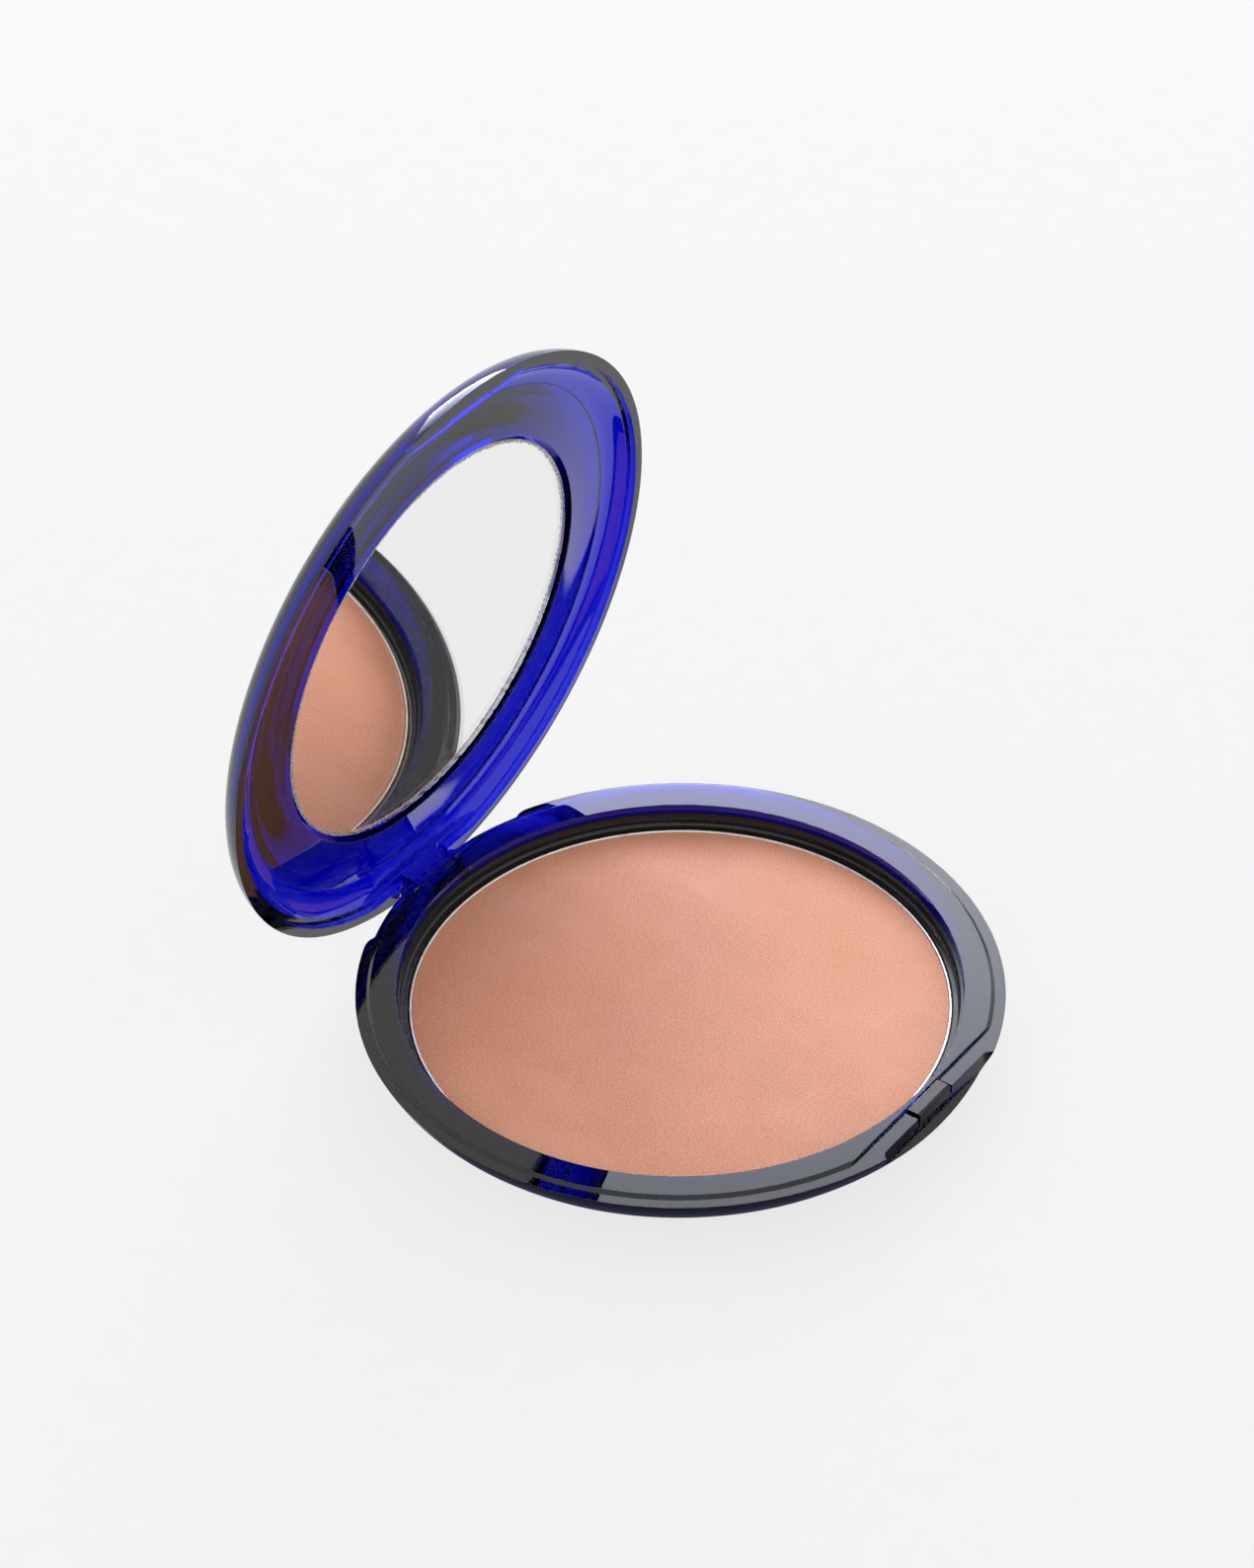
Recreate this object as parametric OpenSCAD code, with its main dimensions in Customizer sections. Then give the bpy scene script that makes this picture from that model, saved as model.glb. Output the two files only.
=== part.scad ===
// Powder compact: a lens-shaped case in tinted clear plastic. The lid is a hollow dome closed by a
// frame that carries a round mirror, and it turns on a steel pin at the back. The base holds a black
// tray with a metal pan of pressed powder.
// The foot stands on the XY plane, the pin runs along X at the back, and the catch is at the front.

/* [Case] */
// Diameter of the case
case_d = 100; // [100:1:106]
// Height of the base, from its foot to the parting face
base_h = 11; // [10.5:0.5:12]
// Height of the lid above its own rim face
lid_h = 10.5; // [10:0.5:12]
// Gap between the parting faces with the lid shut
closing_gap = 0.1; // [0.05:0.05:0.2]
// Angle of the lid, 0 is shut
lid_open = 82; // [0:1:92]

/* [Base] */
// Height of the raised ledge round the powder
ledge_h = 0.5; // [0.3:0.1:0.6]
// Width of the low land outside the ledge
land_w = 1.7; // [1.4:0.1:2]
// Width of the ledge and land together
rim_w = 6.3; // [6:0.1:6.5]
// Depth of the pocket for the tray
pocket_depth = 6.5; // [6.3:0.1:6.6]
// Width of the finger notch
notch_w = 29.4; // [24:0.2:32]
// Depth of the finger notch's upright face
notch_h = 3; // [2.5:0.5:3.5]
// Width of the catch block
catch_w = 8.2; // [7:0.2:9]

/* [Powder] */
// Outer radius of the pan's rolled rim
pan_r = 42; // [41.7:0.1:42]
// Depth of the pan's rim below the parting face
pan_drop = 3.1; // [3:0.1:3.3]
// Depth of the powder's face below the rim
powder_drop = 0.2; // [0.1:0.1:0.4]

/* [Hinge] */
// Diameter of the steel pin
pin_d = 1.2; // [1:0.1:1.3]
// Width of the lid's hinge lug
lug_w = 8.8; // [8:0.2:10]
// Radius of the two ears that hold the pin
ear_r = 2.2; // [2:0.1:2.3]

/* [Lid] */
// Radius of the mirror
mirror_r = 33.85; // [33:0.05:34.5]
// Thickness of the mirror glass
glass_t = 1.2; // [1:0.1:1.3]
// Depth of the glass face below the lid's rim face
mirror_drop = 2.75; // [2.6:0.05:2.9]
// Wall of the lid's hollow dome
lid_wall = 1.7; // [1.4:0.1:1.8]

/* [Hidden] */
case_r = case_d / 2;
facets = 180;
pin_facets = 48;
over = 1;
// How far past a crown's arc its cutting wedge runs
wedge_reach = 1.1;
// Lap that makes the edge arc and the crown arc cross instead of just touching
arc_lap = 0.004;
// Rounded edges of the two halves, and the height each crown would reach if nothing cut it
base_edge_r = 13.3;
base_draft = 20;
lid_edge_r = 6.1;
lid_draft = 8;
base_crown = base_h + 2;
// Rings of the base, by radius
ledge_foot_r = case_r - land_w;
ledge_r = ledge_foot_r - 0.4;
ledge_chamfer = 0.15;
bore_r = case_r - rim_w;
// Ledge ends in straight edges at the front and the back
ledge_front = case_r - 5.7;
ledge_back = case_r - 3.7;
bore_step = 4.5;
bore_inset = 1.1;
tray_gap = 0.05;
tray_r = bore_r - tray_gap;
tray_wall = 0.45;
tray_top = 0.95;
tray_fillet = 0.4;
tray_floor = 0.5;
pan_gap = 0.1;
glue_t = 0.15;
pan_rim_r = 0.3;
pan_t = 0.35;
pan_h = pocket_depth - pan_drop - tray_floor - glue_t;
glue_r = 30;
label_r = 20;
label_t = 0.1;
label_gap = 0.05;
// Hinge line, from the parting face
hinge_y = case_r - 2;
hinge_z = -2;
lug_play = 0.15;
ear_t = 1.35;
ear_x = lug_w / 2 + lug_play;
pin_l = 2 * (ear_x + ear_t);
pin_bore_l = 22;
ear_fit = 0.01;
lug_fit = 0.04;
// The back edge's trim: how far it steps in, its half angle, its rounded ends and their lip
relief_depth = 1;
relief_angle = 24.6;
relief_blend = 3;
relief_lip = 0.06;
back_round = 1.95;
// Slot for the lug, from the pin's centre
slot_in = 2.65;
slot_low = 2.35;
// Lug, measured from the pin's centre
lug_front = 2.2;
lug_back = 1.5;
lug_low = 1.2;
lug_r = 1.9;
ear_relief = 0.15;
// Catch block and the notch it stands over
notch_y = case_r - 3.2;
notch_corner = 1.5;
notch_slope = 25;
notch_reach = 6;
catch_back = notch_y - 2.3;
catch_top = 0.4;
catch_round = 0.5;
catch_gap = 0.05;
catch_slot = 0.5;
catch_slot_h = 1.4;
// Lid cavity, from the rim face
lid_land_r = case_r - 1.6;
lid_step = 1;
lid_strip = case_r - 3.3;
lid_chord = case_r - 5.1;
cove_r = 4.6;
cove_x = case_r - 6.5;
cove_depth = 3;
frame_r = 55;
// Frame round the mirror: a flange on a shoulder of the dome, and a deeper seat for the glass
frame_edge_r = case_r - 6.85;
frame_gap = 0.05;
shoulder_w = 0.8;
flange_back = 4.3;
seat_wall = 1.6;
seat_floor = 0.7;
mirror_pocket_r = mirror_r + 0.8;
silver_t = 0.1;
foam_t = 0.35;
foam_r = mirror_r - 2;
glass_arris = 0.2;
pocket_floor = mirror_drop + glass_t + silver_t + foam_t;
latch_w = 9.6;
latch_depth = 0.35;
bead_r = 0.25;
bead_w = 6;
case_blue = [0.05, 0.05, 0.75, 0.6];
tray_black = [0.05, 0.045, 0.045];
pan_metal = [0.75, 0.74, 0.72];
powder_tan = [0.78, 0.5, 0.38];
glue_white = [0.9, 0.9, 0.86];
steel = [0.6, 0.6, 0.62];
glass_clear = [0.85, 0.9, 0.9, 0.4];
silver_grey = [0.8, 0.82, 0.84];

// Radius of the arc that a crown takes, and the height of that arc's centre
function crown_arc(edge_r, draft, crown) =
  let (edge_x = case_r - edge_r * cos(draft), rise = crown + edge_r * sin(draft),
       inner_r = edge_r - arc_lap)
  (edge_x * edge_x + rise * rise - inner_r * inner_r) / (2 * (rise - inner_r));

// Half section of a lens-shaped shell: a small arc at the edge, leaning in by its draft angle,
// runs into a large one on top
module crown_section(edge_r, draft, crown) {
  edge_x = case_r - edge_r * cos(draft);
  edge_z = -edge_r * sin(draft);
  crown_r = crown_arc(edge_r, draft, crown);
  crown_z = crown - crown_r;
  reach = wedge_reach * crown_r / (crown_r - edge_r);
  tip = [edge_x * reach, crown_z + (edge_z - crown_z) * reach];
  intersection() {
    translate([0, crown_z]) circle(r = crown_r, $fn = facets);
    polygon([[0, 0], [-edge_x * crown_z / (edge_z - crown_z), 0], tip, [0, tip[1] + crown]]);
  }
  intersection() {
    translate([edge_x, edge_z]) circle(r = edge_r, $fn = facets);
    square([case_r + over, crown]);
  }
}

// Outer body of the base, with its parting face at z = 0
module base_body() {
  rotate_extrude($fn = facets) mirror([0, 1]) intersection() {
    crown_section(base_edge_r, base_draft, base_crown);
    square([case_r + over, base_h]);
  }
}

// The back edge is trimmed in between two rounded ends, so that the lid can pass
module back_relief() {
  translate([0, 0, -base_h]) linear_extrude(base_h + over) difference() {
    polygon([[0, 0], [-case_d * sin(relief_angle), case_d * cos(relief_angle)],
             [case_d * sin(relief_angle), case_d * cos(relief_angle)]]);
    circle(r = case_r - relief_depth, $fn = facets);
    for (side = [-1, 1])
      translate([side * (case_r - relief_blend - relief_lip) * sin(relief_angle),
                 (case_r - relief_blend - relief_lip) * cos(relief_angle)])
        circle(r = relief_blend, $fn = facets);
  }
}

// A bar along X, centred, at a height and distance from the hinge line
module hinge_rod(r, l) {
  translate([0, hinge_y, hinge_z]) rotate([0, 90, 0])
    cylinder(r = r, h = l, center = true, $fn = pin_facets);
}

// Rounds the top edge behind the hinge line
module back_rounding() {
  difference() {
    translate([-case_r / 2, hinge_y, hinge_z])
      cube([case_r, case_r - hinge_y + over, over - hinge_z]);
    hinge_rod(back_round, case_d);
  }
}

module ledge() {
  intersection() {
    rotate_extrude($fn = facets)
      polygon([[0, -over], [ledge_foot_r, -over], [ledge_foot_r, 0], [ledge_r, ledge_h - ledge_chamfer],
               [ledge_r - ledge_chamfer, ledge_h], [0, ledge_h]]);
    translate([-case_r, -ledge_front, -over]) cube([case_d, ledge_front + ledge_back, 2 * over]);
  }
}

module ears() {
  for (side = [-1, 1])
    translate([side * (ear_x + ear_t / 2), 0, 0]) hinge_rod(ear_r, ear_t);
}

// Upright face and sloping floor under the front edge, for a fingertip
module finger_notch() {
  intersection() {
    translate([0, 0, -base_h]) linear_extrude(base_h + over) union() {
      translate([-notch_w / 2 + notch_corner, -case_r - over])
        square([notch_w - 2 * notch_corner, case_r + over - notch_y]);
      translate([-notch_w / 2, -case_r - over])
        square([notch_w, case_r + over - notch_y - notch_corner]);
      for (side = [-1, 1]) translate([side * (notch_w / 2 - notch_corner), -notch_y - notch_corner])
        circle(r = notch_corner, $fn = facets);
    }
    translate([-case_r, 0, 0]) rotate([90, 0, 90]) linear_extrude(case_d)
      polygon([[-notch_y, over], [-notch_y, -notch_h],
               [-notch_y - notch_reach, -notch_h - notch_reach * tan(notch_slope)],
               [-notch_y - notch_reach, over]]);
  }
}

// Seat for the catch block, with a relief slot at each end of its tongue
module catch_seat() {
  translate([-catch_w / 2 - catch_gap, -notch_y - over, -notch_h])
    cube([catch_w + 2 * catch_gap, notch_y + over - catch_back + catch_gap, notch_h + over]);
  translate([-catch_w / 2 - catch_slot, -notch_y - over, -catch_slot_h])
    cube([catch_w + 2 * catch_slot, notch_y + over - catch_back + catch_gap, catch_slot_h + over]);
}

module base_shell() color(case_blue) translate([0, 0, base_h]) difference() {
  union() {
    difference() {
      base_body();
      back_relief();
      back_rounding();
    }
    ledge();
    ears();
  }
  translate([0, 0, -bore_step]) cylinder(r = bore_r, h = bore_step + 2 * over, $fn = facets);
  translate([0, 0, -pocket_depth])
    cylinder(r = bore_r - bore_inset, h = pocket_depth, $fn = facets);
  translate([-ear_x, hinge_y - slot_in, hinge_z - slot_low])
    cube([2 * ear_x, case_d, slot_low - hinge_z + 2 * over]);
  hinge_rod(pin_d / 2 + ear_fit, pin_bore_l);
  finger_notch();
  catch_seat();
  translate([0, 0, -base_h - over])
    cylinder(r = label_r + label_gap, h = label_t + over, $fn = facets);
}

// Black cup, seated on the step of its pocket: a thin wall, a shelf beside the pan, a flat floor
module base_tray() color(tray_black) translate([0, 0, base_h]) rotate_extrude($fn = facets) {
  bottom = -pocket_depth;
  inner = tray_r - tray_wall;
  well = pan_r + pan_gap;
  difference() {
    polygon([[0, bottom], [tray_r - bore_inset, bottom], [tray_r - bore_inset, -bore_step],
             [tray_r, -bore_step], [tray_r, -tray_top], [inner, -tray_top],
             [inner, -pan_drop + tray_fillet], [inner - tray_fillet, -pan_drop],
             [well, -pan_drop], [well, bottom + tray_floor], [0, bottom + tray_floor]]);
    translate([inner - tray_fillet, -pan_drop + tray_fillet])
      circle(r = tray_fillet, $fn = facets);
  }
}

// Small block that the lid snaps over, with its upper front edge rounded
module catch_block() color(case_blue) translate([-catch_w / 2, 0, base_h])
  rotate([90, 0, 90]) linear_extrude(catch_w) union() {
    translate([-notch_y, -notch_h])
      square([notch_y - catch_back, notch_h + catch_top - catch_round]);
    translate([-notch_y + catch_round, -notch_h])
      square([notch_y - catch_back - catch_round, notch_h + catch_top]);
    translate([-notch_y + catch_round, catch_top - catch_round])
      circle(r = catch_round, $fn = pin_facets);
  }

// Pressed metal pan with a rolled rim
module powder_pan() color(pan_metal) translate([0, 0, base_h - pan_drop])
  rotate_extrude($fn = facets) union() {
    translate([0, -pan_h]) square([pan_r - pan_rim_r + pan_t / 2, pan_t]);
    translate([pan_r - pan_rim_r - pan_t / 2, -pan_h]) square([pan_t, pan_h - pan_rim_r]);
    translate([pan_r - pan_rim_r, -pan_rim_r]) circle(r = pan_rim_r, $fn = pin_facets);
  }

module pan_adhesive() color(glue_white)
  translate([0, 0, base_h - pocket_depth + tray_floor]) cylinder(r = glue_r, h = glue_t, $fn = facets);

module pressed_powder() color(powder_tan) translate([0, 0, base_h - pan_drop - pan_h + pan_t])
  cylinder(r = pan_r - 2 * pan_rim_r - tray_gap / 2, h = pan_h - pan_t - powder_drop, $fn = facets);

// Blank paper disc set flush into the foot
module base_label() color(glue_white) cylinder(r = label_r, h = label_t, $fn = facets);

module hinge_pin() color(steel) translate([0, 0, base_h]) hinge_rod(pin_d / 2, pin_l);

// Puts a piece drawn shut, with the lid's rim face at z = 0, where the lid stands
module on_lid() {
  translate([0, hinge_y, base_h + hinge_z]) rotate([-lid_open, 0, 0])
    translate([0, -hinge_y, closing_gap - hinge_z]) children();
}

// Hollow of the lid: a cove round the edge, then a frame that rises gently to the mirror
module lid_hollow() {
  intersection() {
    rotate_extrude($fn = facets) union() {
      intersection() {
        translate([cove_x, cove_depth - frame_r]) circle(r = frame_r, $fn = facets);
        translate([0, -over]) square([cove_x, cove_depth + 2 * over]);
      }
      intersection() {
        translate([cove_x, cove_depth - cove_r]) circle(r = cove_r, $fn = facets);
        translate([cove_x - over, -over]) square([cove_r + 2 * over, cove_depth + 2 * over]);
      }
    }
    cube([case_d, 2 * lid_chord, 2 * lid_h], center = true);
  }
}

// Space behind the frame: a seat for its flange, then the inside of the dome
module lid_cavity() {
  crown_r = crown_arc(lid_edge_r, lid_draft, lid_h);
  translate([0, 0, -over]) cylinder(r = frame_edge_r + frame_gap, h = flange_back + over, $fn = facets);
  rotate_extrude($fn = facets) intersection() {
    translate([0, lid_h - crown_r]) circle(r = crown_r - lid_wall, $fn = facets);
    square([frame_edge_r - shoulder_w, lid_h]);
  }
}

// Shallow step inside the rim face, straight at the front and the back
module lid_step_hollow() {
  translate([0, 0, -over]) linear_extrude(lid_step + over) intersection() {
    circle(r = lid_land_r, $fn = facets);
    square([case_d, 2 * lid_strip], center = true);
  }
}

// Lug round the pin, drawn from the parting face of the base
module lid_lug() {
  hinge_rod(lug_r, lug_w);
  translate([-lug_w / 2, hinge_y - lug_front, hinge_z - lug_low])
    cube([lug_w, lug_front, lug_low - hinge_z + lid_step + closing_gap]);
  translate([-lug_w / 2, hinge_y - lug_front, hinge_z])
    cube([lug_w, lug_front + lug_back, -hinge_z + lid_step + closing_gap]);
}

module lid_shell() color(case_blue) on_lid() difference() {
  union() {
    difference() {
      rotate_extrude($fn = facets) crown_section(lid_edge_r, lid_draft, lid_h);
      lid_step_hollow();
      lid_hollow();
      lid_cavity();
      for (side = [-1, 1])
        translate([side * (ear_x + ear_t / 2), 0, 0]) {
          translate([0, 0, -closing_gap]) hinge_rod(ear_r + ear_relief, ear_t + 2 * ear_relief);
          translate([-ear_t / 2 - ear_relief, lid_strip - over, -over])
            cube([ear_t + 2 * ear_relief, 2 * ear_r + over, lid_step + over]);
        }
      translate([-latch_w / 2, -lid_strip - latch_depth, -over])
        cube([latch_w, latch_depth + over, lid_step + over]);
    }
    translate([0, 0, -closing_gap]) lid_lug();
    translate([0, -lid_strip - latch_depth, lid_step / 2]) rotate([0, 90, 0])
      cylinder(r = bead_r, h = bead_w, center = true, $fn = pin_facets);
  }
  translate([0, 0, -closing_gap]) hinge_rod(pin_d / 2 + lug_fit, lug_w + over);
}

// Frame round the mirror, one disc with a pocket in front for the glass
module lid_frame() color(case_blue) on_lid() difference() {
  union() {
    cylinder(r = frame_edge_r, h = flange_back, $fn = facets);
    cylinder(r = mirror_pocket_r + seat_wall, h = pocket_floor + seat_floor, $fn = facets);
  }
  lid_hollow();
  translate([0, 0, -over]) cylinder(r = mirror_pocket_r, h = pocket_floor + over, $fn = facets);
}

// Round glass with its sharp edges ground off
module mirror_glass() color(glass_clear) on_lid() translate([0, 0, mirror_drop])
  rotate_extrude($fn = facets)
    polygon([[0, 0], [mirror_r - glass_arris, 0], [mirror_r, glass_arris],
             [mirror_r, glass_t - glass_arris], [mirror_r - glass_arris, glass_t], [0, glass_t]]);

module mirror_backing() color(silver_grey) on_lid() translate([0, 0, mirror_drop + glass_t])
  cylinder(r = mirror_r - glass_arris, h = silver_t, $fn = facets);

module mirror_adhesive() color(glue_white) on_lid()
  translate([0, 0, mirror_drop + glass_t + silver_t]) cylinder(r = foam_r, h = foam_t, $fn = facets);

base_shell();
base_tray();
catch_block();
powder_pan();
pan_adhesive();
pressed_powder();
base_label();
hinge_pin();
lid_shell();
lid_frame();
mirror_glass();
mirror_backing();
mirror_adhesive();
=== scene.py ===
"""Looks for the powder compact: an open case in clear blue plastic, a mirror, a pan of powder."""
import math
import random

import bmesh
import bpy
from mathutils import Matrix, Vector


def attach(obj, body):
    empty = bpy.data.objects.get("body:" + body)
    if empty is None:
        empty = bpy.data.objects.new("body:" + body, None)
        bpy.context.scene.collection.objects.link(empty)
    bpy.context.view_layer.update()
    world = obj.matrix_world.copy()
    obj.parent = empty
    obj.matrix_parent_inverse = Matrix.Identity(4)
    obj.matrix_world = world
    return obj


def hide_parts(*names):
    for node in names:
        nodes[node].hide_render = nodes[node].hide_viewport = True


MM = 0.001

# Camera, in degrees, metres and millimetres of lens
CAMERA_AZIMUTH = -53.457
CAMERA_ELEVATION = 38.298
CAMERA_ROLL = -0.863
CAMERA_AT = Vector((-0.44956, -0.32358, 0.48780))
CAMERA_LENS = 108.91
SENSOR = 36.0
CLIP = (0.05, 20.0)

# Room and floor
PAPER_WHITE = 0.887
FLOOR_RADIUS = 3.0
FLOOR_SIDES = 128
FLOOR_GREY = 0.12
FLOOR_MOTTLE = 0.005
FLOOR_GLOW = 0.775

# Soft light behind to the right: radiance at its lower and its upper edge
SOFTBOX = {"azimuth": 36, "elevation": 34, "distance": 1.2, "size": (0.95, 0.62), "low": 10.5,
           "high": 1.6, "color": (0.955, 0.99, 1.13)}

# Painted shadow: a dark patch on the floor before the compact, seen in reflections and refractions: it fades
# from one radius to the other
CARD_RADIUS = 0.32
CARD_FADE = 0.20
CARD_SIDE_FADE = 0.03
CARD_HEIGHT = 0.0003
# colour of the painted shadow, at its darkest next to the compact
CARD_SHADOW_DARK = (0.085, 0.085, 0.15)
CARD_PALE = (0.86, 0.86, 0.86)

# Lid: where a point drawn shut, from the lid's rim face, stands with the lid open
HINGE = Vector((0, 0.048, 0.009))
LID_OPEN = math.radians(82)
RIM_ABOVE_HINGE = 0.0021
LID = (Matrix.Translation(HINGE) @ Matrix.Rotation(-LID_OPEN, 4, "X")
       @ Matrix.Translation(Vector((0, -HINGE.y, RIM_ABOVE_HINGE))))

# Clear blue plastic: its blue, how fast it deepens in each shell, and how far its edges are softened.
# The base's copy deepens faster than the lid's, which paints shade into the base
PLASTIC_BLUE = (0.0, 0.05, 0.915)
LID_DENSITY = 2500
# denser than the lid's plastic: painted shade that darkens the base
BASE_DENSITY_SHADED = 4000
PLASTIC_IOR = 1.57
EDGE_SOFTENING = 0.00014
GLASS_IOR = 1.5

# Powder: two crossed sets of bands, in degrees, with this many waves
WEAVE_TURNS = (8, 98)
WEAVE_SCALE = 760

# Mirror: (radius, height) in the lid's millimetres, from the rim's face up into the dome. The glass
# has its silver on the back, and the arris round its face is chipped by up to these depths
MIRROR_FACE = 2.75
MIRROR_BACK = 3.94
MIRROR_PROFILE = [(0, MIRROR_FACE), (33.0, MIRROR_FACE), (33.5, MIRROR_FACE), (33.85, 2.98),
                  (33.85, 3.75), (33.65, MIRROR_BACK), (33.0, MIRROR_BACK), (0, MIRROR_BACK)]
CLEAR, SILVERED, GROUND = 0, 1, 2
MIRROR_SLOTS = [CLEAR, CLEAR, GROUND, CLEAR, CLEAR, SILVERED, SILVERED]
MIRROR_SEGMENTS = 720
FACE_RING, ARRIS_RING = 2, 3
FACE_CHIPS, ARRIS_CHIPS = 0.34, 0.3
CHIP_RARITY = 3
CHIP_SEED = 7

# Reach of the dome's pole, where its vertices are merged and its shading normals set straight
POLE = 0.0001

# Frame round the mirror, in the lid's millimetres: outer and pocket radius, the front arc's centre and
# radius, the heights of the pocket's floor, the outer edge and the back, and the width over which the
# back swells
FRAME_EDGE, FRAME_POCKET = 43.15, 34.65
FRAME_ARC = (43.5, -52.0, 55.0)
POCKET_FLOOR, FRAME_RIM, FRAME_BACK = 4.4, 4.15, 5.1
BACK_RISE = 9.0
FRAME_STEPS = 16

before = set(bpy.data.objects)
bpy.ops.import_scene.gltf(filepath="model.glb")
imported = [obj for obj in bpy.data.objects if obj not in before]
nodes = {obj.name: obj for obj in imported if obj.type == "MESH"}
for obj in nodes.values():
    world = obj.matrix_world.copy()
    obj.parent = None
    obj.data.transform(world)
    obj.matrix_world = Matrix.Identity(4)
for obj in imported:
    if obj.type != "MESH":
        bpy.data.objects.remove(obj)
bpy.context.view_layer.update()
scene = bpy.context.scene
scene.view_settings.view_transform = "Standard"


# ---------------------------------------------------------------- node helpers
def new_material(name, color=(1, 1, 1), roughness=0.5, metallic=0.0):
    """A material, its node tree and its shader."""
    material = bpy.data.materials.new(name)
    material.use_nodes = True
    tree = material.node_tree
    shader = tree.nodes["Principled BSDF"]
    shader.inputs["Base Color"].default_value = (*color, 1)
    shader.inputs["Roughness"].default_value = roughness
    shader.inputs["Metallic"].default_value = metallic
    return material, tree, shader


def node(tree, kind, values=None, **settings):
    """A new node: values fill its sockets, settings its own properties."""
    new = tree.nodes.new(kind)
    for key, value in settings.items():
        setattr(new, key, value)
    for key, value in (values or {}).items():
        new.inputs[key].default_value = value
    return new


def place(tree, scale=(1, 1, 1), turn=0.0):
    """Object coordinates in metres, stretched and turned about Z."""
    where = node(tree, "ShaderNodeTexCoord")
    fit = node(tree, "ShaderNodeMapping", {"Scale": scale, "Rotation": (0, 0, turn)})
    tree.links.new(where.outputs["Object"], fit.inputs["Vector"])
    return fit.outputs["Vector"]


def noise(tree, scale, detail=3.0, stretch=(1, 1, 1), rough=0.55):
    """Soft noise, scale in waves a metre before the stretch."""
    tex = node(tree, "ShaderNodeTexNoise", {"Scale": scale, "Detail": detail, "Roughness": rough})
    tree.links.new(place(tree, stretch), tex.inputs["Vector"])
    return tex.outputs["Fac"]


def spread(tree, source, low, high, start=0.3, end=0.7):
    """Maps a texture's middle range onto low..high."""
    ramp = node(tree, "ShaderNodeMapRange",
                {"From Min": start, "From Max": end, "To Min": low, "To Max": high})
    tree.links.new(source, ramp.inputs["Value"])
    return ramp.outputs["Result"]


def blend(tree, factor, first, second):
    """Mixes two colours; either may be a socket. The Mix node's colour sockets go by number."""
    mix = node(tree, "ShaderNodeMix", data_type="RGBA")
    for socket, value in ((mix.inputs[6], first), (mix.inputs[7], second)):
        if isinstance(value, tuple):
            socket.default_value = (*value, 1)
        else:
            tree.links.new(value, socket)
    tree.links.new(factor, mix.inputs[0])
    return mix.outputs[2]


def bumped(tree, shader, height, depth, strength=1.0, normal=None):
    """Gives the shader a bump of this depth in metres, on top of a normal where one is given."""
    bump = node(tree, "ShaderNodeBump", {"Strength": strength, "Distance": depth})
    tree.links.new(height, bump.inputs["Height"])
    if normal is not None:
        tree.links.new(normal, bump.inputs["Normal"])
    tree.links.new(bump.outputs["Normal"], shader.inputs["Normal"])


# ---------------------------------------------------------------- materials
def clear_blue(name, density):
    """Polished clear plastic, blue through its depth, with faint handling smears and softened edges."""
    material, tree, shader = new_material(name)
    shader.inputs["IOR"].default_value = PLASTIC_IOR
    shader.inputs["Transmission Weight"].default_value = 1
    tree.links.new(spread(tree, noise(tree, 170, 4), 0.006, 0.05, 0.42, 0.8), shader.inputs["Roughness"])
    edge = node(tree, "ShaderNodeBevel", {"Radius": EDGE_SOFTENING}, samples=4)
    bumped(tree, shader, noise(tree, 60, 1), 0.00002, 0.2, edge.outputs["Normal"])
    volume = node(tree, "ShaderNodeVolumeAbsorption", {"Color": (*PLASTIC_BLUE, 1), "Density": density})
    tree.links.new(volume.outputs["Volume"], tree.nodes["Material Output"].inputs["Volume"])
    return material


def powder_look():
    """Matte pressed powder with a fine woven press mark, grain and a few soft smudges."""
    material, tree, shader = new_material("pressed_powder", roughness=0.62)
    weave = []
    for turn in WEAVE_TURNS:
        bands = node(tree, "ShaderNodeTexWave", {"Scale": WEAVE_SCALE, "Distortion": 1.2, "Detail": 1.0,
                                                "Detail Scale": 0.6}, wave_type="BANDS")
        tree.links.new(place(tree, turn=math.radians(turn)), bands.inputs["Vector"])
        weave.append(bands.outputs["Fac"])
    cross = node(tree, "ShaderNodeMath", operation="MULTIPLY")
    tree.links.new(weave[0], cross.inputs[0])
    tree.links.new(weave[1], cross.inputs[1])
    patches = spread(tree, noise(tree, 45, 3), 0.25, 1.0)
    woven = node(tree, "ShaderNodeMath", operation="MULTIPLY")
    tree.links.new(cross.outputs[0], woven.inputs[0])
    tree.links.new(patches, woven.inputs[1])
    grain = noise(tree, 2600, 2, rough=0.7)
    speck = node(tree, "ShaderNodeMath", operation="ADD")
    tree.links.new(woven.outputs[0], speck.inputs[0])
    tree.links.new(grain, speck.inputs[1])
    fine = blend(tree, spread(tree, speck.outputs[0], 0, 1, 0.4, 1.1),
                 (0.58, 0.225, 0.122), (1.0, 0.475, 0.295))
    smudge = spread(tree, noise(tree, 70, 2, (1, 0.45, 1)), 0.0, 0.5, 0.55, 0.8)
    tree.links.new(blend(tree, smudge, fine, (0.82, 0.40, 0.27)), shader.inputs["Base Color"])
    tree.links.new(spread(tree, noise(tree, 60, 3), 0.55, 0.7), shader.inputs["Roughness"])
    bumped(tree, shader, speck.outputs[0], 0.00004, 0.7)
    return material


def moulded_black():
    """Black moulded plastic: a fine sheen that varies, and a trace of tan dust."""
    material, tree, shader = new_material("tray_black")
    dust = spread(tree, noise(tree, 900, 4, rough=0.7), 0.0, 0.35, 0.62, 0.85)
    tree.links.new(blend(tree, dust, (0.010, 0.009, 0.009), (0.20, 0.10, 0.07)), shader.inputs["Base Color"])
    tree.links.new(spread(tree, noise(tree, 240, 3), 0.16, 0.32), shader.inputs["Roughness"])
    bumped(tree, shader, noise(tree, 1800, 2), 0.000006, 0.4)
    return material


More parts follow.
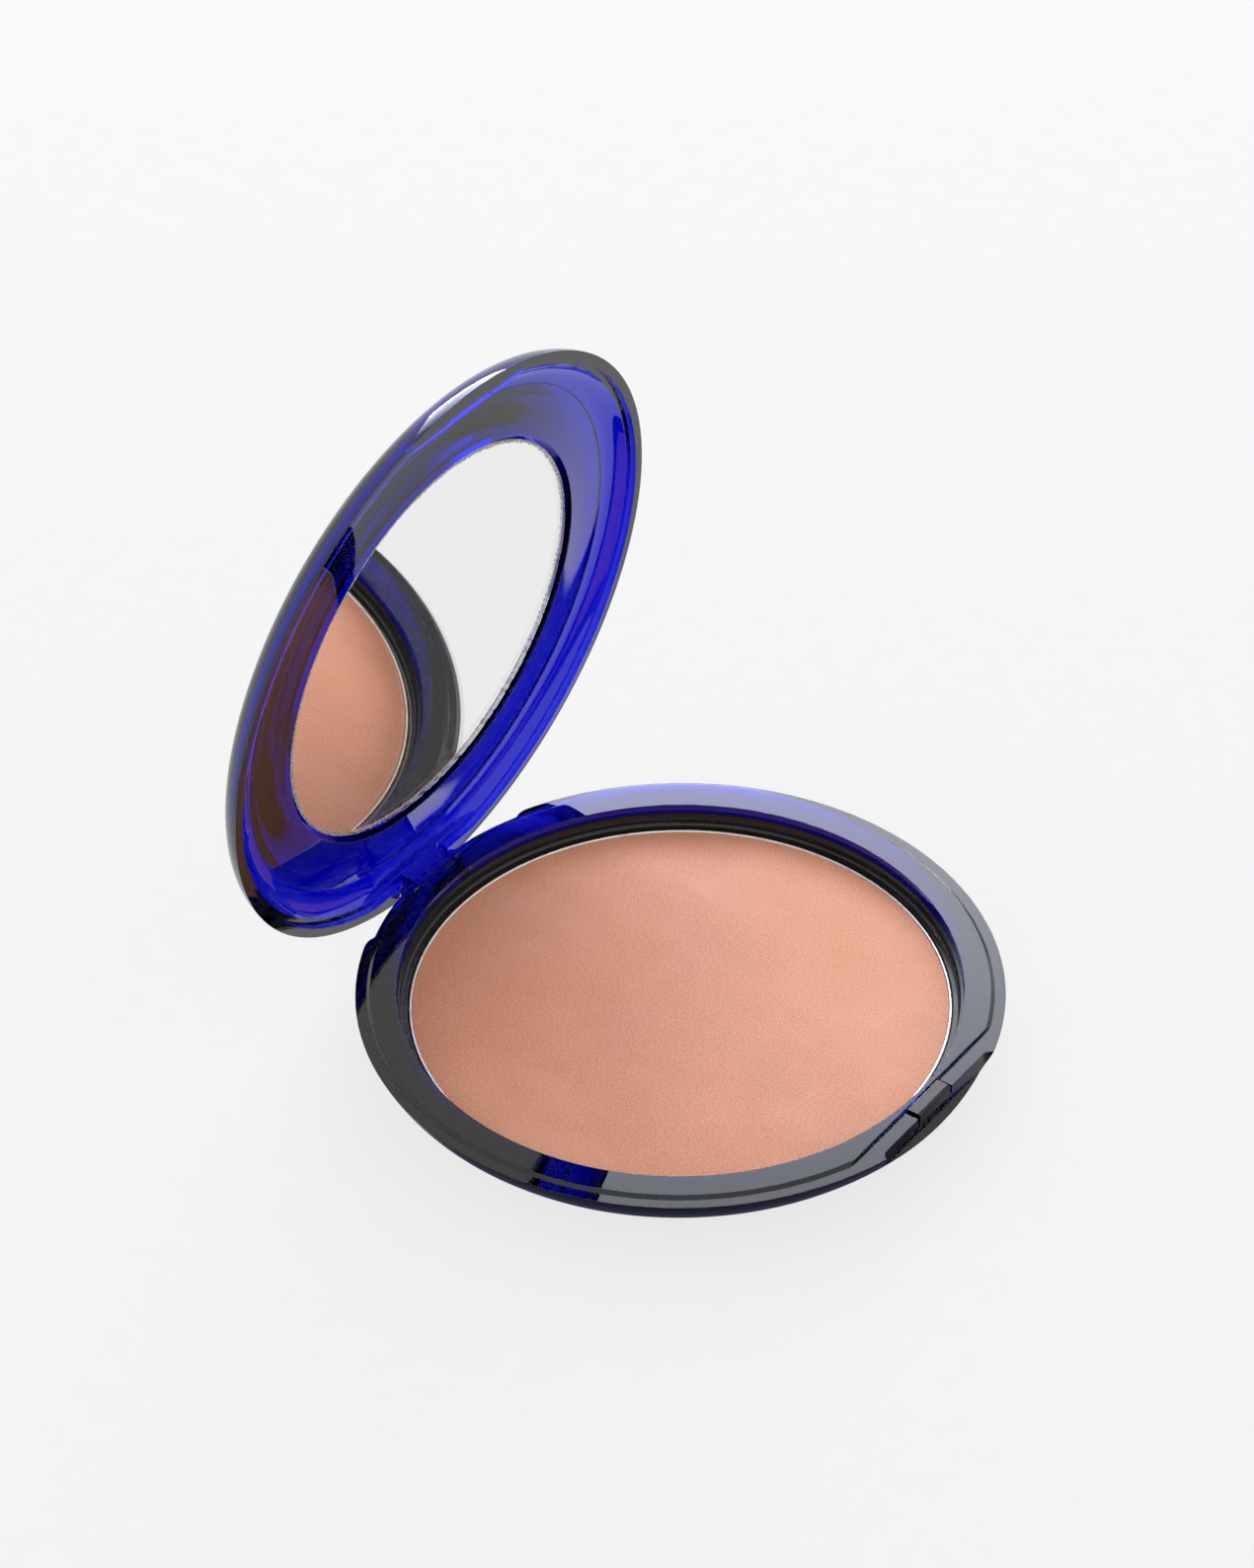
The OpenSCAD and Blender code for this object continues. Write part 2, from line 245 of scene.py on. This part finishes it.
def pan_look():
    """Pressed aluminium with fine drawing marks, dusted with powder in places."""
    material, tree, shader = new_material("pan_metal", metallic=1.0)
    dust = spread(tree, noise(tree, 420, 4, rough=0.65), 0.0, 0.8, 0.45, 0.75)
    tree.links.new(blend(tree, dust, (0.80, 0.76, 0.72), (0.62, 0.40, 0.30)), shader.inputs["Base Color"])
    tree.links.new(spread(tree, noise(tree, 700, 3, (1, 1, 6)), 0.22, 0.42), shader.inputs["Roughness"])
    bumped(tree, shader, noise(tree, 900, 2, (1, 1, 8)), 0.000008, 0.4)
    return material


def foam_look():
    """White foam tape."""
    material, tree, shader = new_material("adhesive_foam")
    cells = node(tree, "ShaderNodeTexVoronoi", {"Scale": 2600})
    tree.links.new(place(tree), cells.inputs["Vector"])
    shade = spread(tree, cells.outputs["Distance"], 0, 1, 0.1, 0.8)
    tree.links.new(blend(tree, shade, (0.72, 0.72, 0.68), (0.84, 0.84, 0.80)), shader.inputs["Base Color"])
    tree.links.new(spread(tree, noise(tree, 500), 0.55, 0.75), shader.inputs["Roughness"])
    bumped(tree, shader, cells.outputs["Distance"], 0.00004, 0.5)
    return material


def paper_look():
    """Coated paper with short fibres."""
    material, tree, shader = new_material("paper_label")
    fibres = noise(tree, 1500, 5, (1, 0.25, 1), 0.7)
    tree.links.new(blend(tree, spread(tree, fibres, 0, 1), (0.78, 0.78, 0.75), (0.88, 0.88, 0.86)),
                   shader.inputs["Base Color"])
    tree.links.new(spread(tree, noise(tree, 300), 0.45, 0.65), shader.inputs["Roughness"])
    bumped(tree, shader, fibres, 0.00001, 0.5)
    return material


def steel_look():
    """Drawn steel wire, its marks along X."""
    material, tree, shader = new_material("pin_steel", metallic=1.0)
    marks = noise(tree, 4000, 2, (0.05, 1, 1))
    tree.links.new(blend(tree, spread(tree, marks, 0, 1), (0.48, 0.48, 0.50), (0.60, 0.60, 0.61)),
                   shader.inputs["Base Color"])
    tree.links.new(spread(tree, marks, 0.2, 0.38), shader.inputs["Roughness"])
    bumped(tree, shader, marks, 0.000003, 0.4)
    return material


def silver_look():
    """Mirror silver, very slightly uneven."""
    material, tree, shader = new_material("mirror_silver", metallic=1.0)
    tone = spread(tree, noise(tree, 25, 2), 0, 1)
    tree.links.new(blend(tree, tone, (0.975, 0.975, 0.972), (0.985, 0.985, 0.982)),
                   shader.inputs["Base Color"])
    tree.links.new(spread(tree, noise(tree, 90, 3), 0.0, 0.004), shader.inputs["Roughness"])
    return material


def glass_look(name, low, high, depth=0.0, clear=1.0):
    """Float glass; the ground edge takes the same look with more roughness and deeper grinding marks."""
    material, tree, shader = new_material(name, (0.995, 1.0, 0.998))
    shader.inputs["IOR"].default_value = GLASS_IOR
    shader.inputs["Transmission Weight"].default_value = clear
    tree.links.new(spread(tree, noise(tree, 1400, 3), low, high), shader.inputs["Roughness"])
    if depth:
        bumped(tree, shader, noise(tree, 3000, 3, rough=0.7), depth, 0.8)
    return material


def floor_look():
    """Pale studio paper, mostly lit by itself so that it stays even."""
    material, tree, shader = new_material("floor_white")
    shader.inputs["Specular IOR Level"].default_value = 0.0
    tone = spread(tree, noise(tree, 220, 4), 0, 1)
    tree.links.new(blend(tree, tone, (FLOOR_GREY - FLOOR_MOTTLE,) * 3, (FLOOR_GREY + FLOOR_MOTTLE,) * 3),
                   shader.inputs["Base Color"])
    tree.links.new(spread(tree, noise(tree, 400), 0.75, 0.85), shader.inputs["Roughness"])
    shader.inputs["Emission Color"].default_value = (1, 1, 1, 1)
    shader.inputs["Emission Strength"].default_value = FLOOR_GLOW
    return material


LID_BLUE = clear_blue("clear_blue_lid", LID_DENSITY)
# the base's copy of the lid's plastic, darkened by painted shade
SHADED_BASE_BLUE = clear_blue("clear_blue_base_shaded", BASE_DENSITY_SHADED)
FOAM = foam_look()
GLASS = glass_look("mirror_glass", 0.0, 0.003)
GLASS_EDGE = glass_look("mirror_ground_edge", 0.12, 0.4, 0.00005, 0.6)
SILVER = silver_look()
LOOKS = {
    "base_shell": SHADED_BASE_BLUE, "catch_block": SHADED_BASE_BLUE, "lid_shell": LID_BLUE, "lid_frame": LID_BLUE,
    "base_tray": moulded_black(), "powder_pan": pan_look(), "pressed_powder": powder_look(),
    "pan_adhesive": FOAM, "mirror_adhesive": FOAM, "base_label": paper_look(), "hinge_pin": steel_look(),
    "mirror_backing": SILVER, "mirror_glass": GLASS,
}
for name, look in LOOKS.items():
    for slot in nodes[name].material_slots:
        slot.material = look


# ---------------------------------------------------------------- pieces that replace CAD nodes
def lathe(name, profile, segments, materials, face_slots, jitter):
    """A turned piece. The profile is a list of (radius, height) in millimetres, from axis to axis; the
    slots give each band's material, and jitter moves a vertex of a ring in radius and height."""
    verts, faces, slots, rings = [], [], [], []
    for k, (r, z) in enumerate(profile):
        rings.append([])
        for i in range(segments if r else 1):
            t = 2 * math.pi * i / segments
            dr, dz = jitter(k)
            rings[-1].append(len(verts))
            verts.append(((r + dr) * MM * math.cos(t), (r + dr) * MM * math.sin(t), (z + dz) * MM))
    for k, (p, q) in enumerate(zip(rings, rings[1:])):
        for i in range(segments):
            j = (i + 1) % segments
            corners = [p[j % len(p)], q[j % len(q)], q[i % len(q)], p[i % len(p)]]
            faces.append(tuple(dict.fromkeys(corners)))
            slots.append(face_slots[k])
    mesh = bpy.data.meshes.new(name)
    mesh.from_pydata(verts, [], faces)
    for look in materials:
        mesh.materials.append(look)
    for face, slot in zip(mesh.polygons, slots):
        face.material_index = slot
    mesh.update()
    piece = bpy.data.objects.new(name, mesh)
    scene.collection.objects.link(piece)
    return piece


def frame_profile():
    """Pocket floor, pocket wall, front arc out to the cove, then a back that swells smoothly."""
    x, z, radius = FRAME_ARC
    steps = [k / FRAME_STEPS for k in range(FRAME_STEPS + 1)]
    front = [FRAME_POCKET + (FRAME_EDGE - FRAME_POCKET) * s for s in steps]
    profile = [(0, POCKET_FLOOR), (FRAME_POCKET, POCKET_FLOOR)]
    profile += [(r, z + math.sqrt(radius ** 2 - (r - x) ** 2)) for r in front]
    profile += [(FRAME_EDGE - BACK_RISE * s, FRAME_RIM + (FRAME_BACK - FRAME_RIM) * s * s * (3 - 2 * s))
                for s in steps]
    return profile + [(0, FRAME_BACK)]


rng = random.Random(CHIP_SEED)


def chips(ring):
    """Small random bites out of the two rings of the front arris; most are slight."""
    if ring == FACE_RING:
        return -rng.random() ** CHIP_RARITY * FACE_CHIPS, 0
    if ring == ARRIS_RING:
        return 0, rng.random() ** CHIP_RARITY * ARRIS_CHIPS
    return 0, 0


def even(ring):
    return 0, 0


def stand_in(piece, replaced):
    """Puts a piece on the lid in the place of a CAD node."""
    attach(piece, "lid")
    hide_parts(replaced)


mirror = lathe("mirror", MIRROR_PROFILE, MIRROR_SEGMENTS, [GLASS, SILVER, GLASS_EDGE], MIRROR_SLOTS, chips)
frame_ring = frame_profile()
mirror_frame = lathe("mirror_frame", frame_ring, MIRROR_SEGMENTS, [LID_BLUE], [0] * len(frame_ring), even)
for turned in (mirror, mirror_frame):
    turned.data.transform(LID)
stand_in(mirror, "mirror_glass")
stand_in(mirror_frame, "lid_frame")


def smooth_dome(name, source):
    """A copy of the lid's shell with one vertex at each pole of the dome, where its shading normals run
    along the axis. The other normals are kept as they are while the vertices are merged."""
    def at_pole(co):
        local = LID.inverted() @ co
        return math.hypot(local.x, local.y) < POLE

    mesh = source.data.copy()
    mesh.name = name
    mesh.transform(source.matrix_world)
    kept = mesh.attributes.new("kept_normal", "FLOAT_VECTOR", "CORNER")
    kept.data.foreach_set("vector", [part for corner in mesh.corner_normals for part in corner.vector])
    work = bmesh.new()
    work.from_mesh(mesh)
    bmesh.ops.remove_doubles(work, verts=[v for v in work.verts if at_pole(v.co)], dist=POLE)
    work.to_mesh(mesh)
    work.free()
    axis = LID.to_3x3() @ Vector((0, 0, 1))
    kept = mesh.attributes["kept_normal"]
    normals = [Vector(corner.vector).normalized() for corner in kept.data]
    for k, loop in enumerate(mesh.loops):
        if at_pole(mesh.vertices[loop.vertex_index].co):
            normals[k] = axis * math.copysign(1, normals[k].dot(axis))
    mesh.attributes.remove(kept)
    mesh.normals_split_custom_set(normals)
    piece = bpy.data.objects.new(name, mesh)
    scene.collection.objects.link(piece)
    return piece


stand_in(smooth_dome("lid_dome", nodes["lid_shell"]), "lid_shell")

# ---------------------------------------------------------------- floor, light, camera
world = bpy.data.worlds.new("studio_white")
scene.world = world
world.use_nodes = True
world.node_tree.nodes["Background"].inputs["Color"].default_value = (1, 1, 1, 1)
world.node_tree.nodes["Background"].inputs["Strength"].default_value = PAPER_WHITE

bpy.ops.mesh.primitive_circle_add(vertices=FLOOR_SIDES, radius=FLOOR_RADIUS, fill_type="NGON",
                                  location=(0, 0, 0))
floor = bpy.context.object
floor.name = "floor"
floor.data.materials.append(floor_look())


def stage_sheet(name, reach, height, material, unseen_by):
    """A flat rectangle of the stage, reaching this far each way in X and Y, unseen by some rays."""
    w, h = reach
    mesh = bpy.data.meshes.new(name)
    corners = [(-w, -h, height), (w, -h, height), (w, h, height), (-w, h, height)]
    mesh.from_pydata(corners, [], [(0, 1, 2, 3)])
    mesh.materials.append(material)
    sheet = bpy.data.objects.new(name, mesh)
    scene.collection.objects.link(sheet)
    for ray in unseen_by:
        setattr(sheet, "visible_" + ray, False)
    return sheet


def softbox(azimuth, elevation, distance, size, low, high, color):
    """A glowing screen that faces the compact, with its radiance at its lower and its upper edge."""
    az, el = math.radians(azimuth), math.radians(elevation)
    at = Vector((math.cos(az) * math.cos(el), math.sin(az) * math.cos(el), math.sin(el))) * distance
    w, h = size[0] / 2, size[1] / 2
    material, tree, shader = new_material("back_softbox")
    tree.nodes.remove(shader)
    glow = node(tree, "ShaderNodeEmission", {"Color": (*color, 1)})
    where = node(tree, "ShaderNodeTexCoord")
    split = node(tree, "ShaderNodeSeparateXYZ")
    tree.links.new(where.outputs["Object"], split.inputs[0])
    tree.links.new(spread(tree, split.outputs["Y"], low, high, -h, h), glow.inputs["Strength"])
    tree.links.new(glow.outputs[0], tree.nodes["Material Output"].inputs["Surface"])
    sheet = stage_sheet("back_softbox", (w, h), 0, material, ("camera",))
    sheet.location = at
    sheet.rotation_euler = at.to_track_quat("Z", "Y").to_euler()


def painted_shadow_card():
    """A painted shadow: a dark patch on the floor before the compact, where the compact's own shadow would
    fall.
    It fades to the floor's own white at its edges and keeps the outer wall's reflection dark."""
    material, tree, shader = new_material("painted_shadow_card")
    tree.nodes.remove(shader)
    glow = node(tree, "ShaderNodeEmission")
    tree.links.new(glow.outputs[0], tree.nodes["Material Output"].inputs["Surface"])
    where = node(tree, "ShaderNodeTexCoord").outputs["Object"]
    reach = node(tree, "ShaderNodeVectorMath", operation="LENGTH")
    facing = node(tree, "ShaderNodeVectorMath", operation="DOT_PRODUCT")
    side = math.radians(CAMERA_AZIMUTH)
    facing.inputs[1].default_value = (math.sin(side), -math.cos(side), 0)
    for measure in (reach, facing):
        tree.links.new(where, measure.inputs[0])
    fade = node(tree, "ShaderNodeMath", operation="MULTIPLY")
    tree.links.new(spread(tree, reach.outputs["Value"], 1, 0, CARD_FADE, CARD_RADIUS), fade.inputs[0])
    tree.links.new(spread(tree, facing.outputs["Value"], 0, 1, 0, CARD_SIDE_FADE), fade.inputs[1])
    # painted shadow: dark near the compact on the camera's side, fading to the floor's white
    tree.links.new(blend(tree, fade.outputs[0], CARD_PALE, CARD_SHADOW_DARK), glow.inputs["Color"])
    stage_sheet("painted_shadow_card", (CARD_RADIUS, CARD_RADIUS), CARD_HEIGHT, material,
                ("camera", "diffuse", "shadow"))


softbox(**SOFTBOX)
# painted shadow patch on the floor before the compact
painted_shadow_card()

camera_data = bpy.data.cameras.new("camera")
camera = bpy.data.objects.new("camera", camera_data)
scene.collection.objects.link(camera)
camera_data.sensor_fit = "VERTICAL"
camera_data.sensor_height = SENSOR
camera_data.lens = CAMERA_LENS
camera_data.clip_start, camera_data.clip_end = CLIP
a, e, roll = (math.radians(v) for v in (CAMERA_AZIMUTH, CAMERA_ELEVATION, CAMERA_ROLL))
back = Vector((math.sin(a) * math.cos(e), -math.cos(a) * math.cos(e), math.sin(e)))
right = Vector((math.cos(a), math.sin(a), 0))
up = back.cross(right)
right_rolled = right * math.cos(roll) + up * math.sin(roll)
up_rolled = up * math.cos(roll) - right * math.sin(roll)
rotation = Matrix((right_rolled, up_rolled, back)).transposed().to_4x4()
camera.matrix_world = Matrix.Translation(CAMERA_AT) @ rotation
scene.camera = camera

bpy.context.view_layer.update()
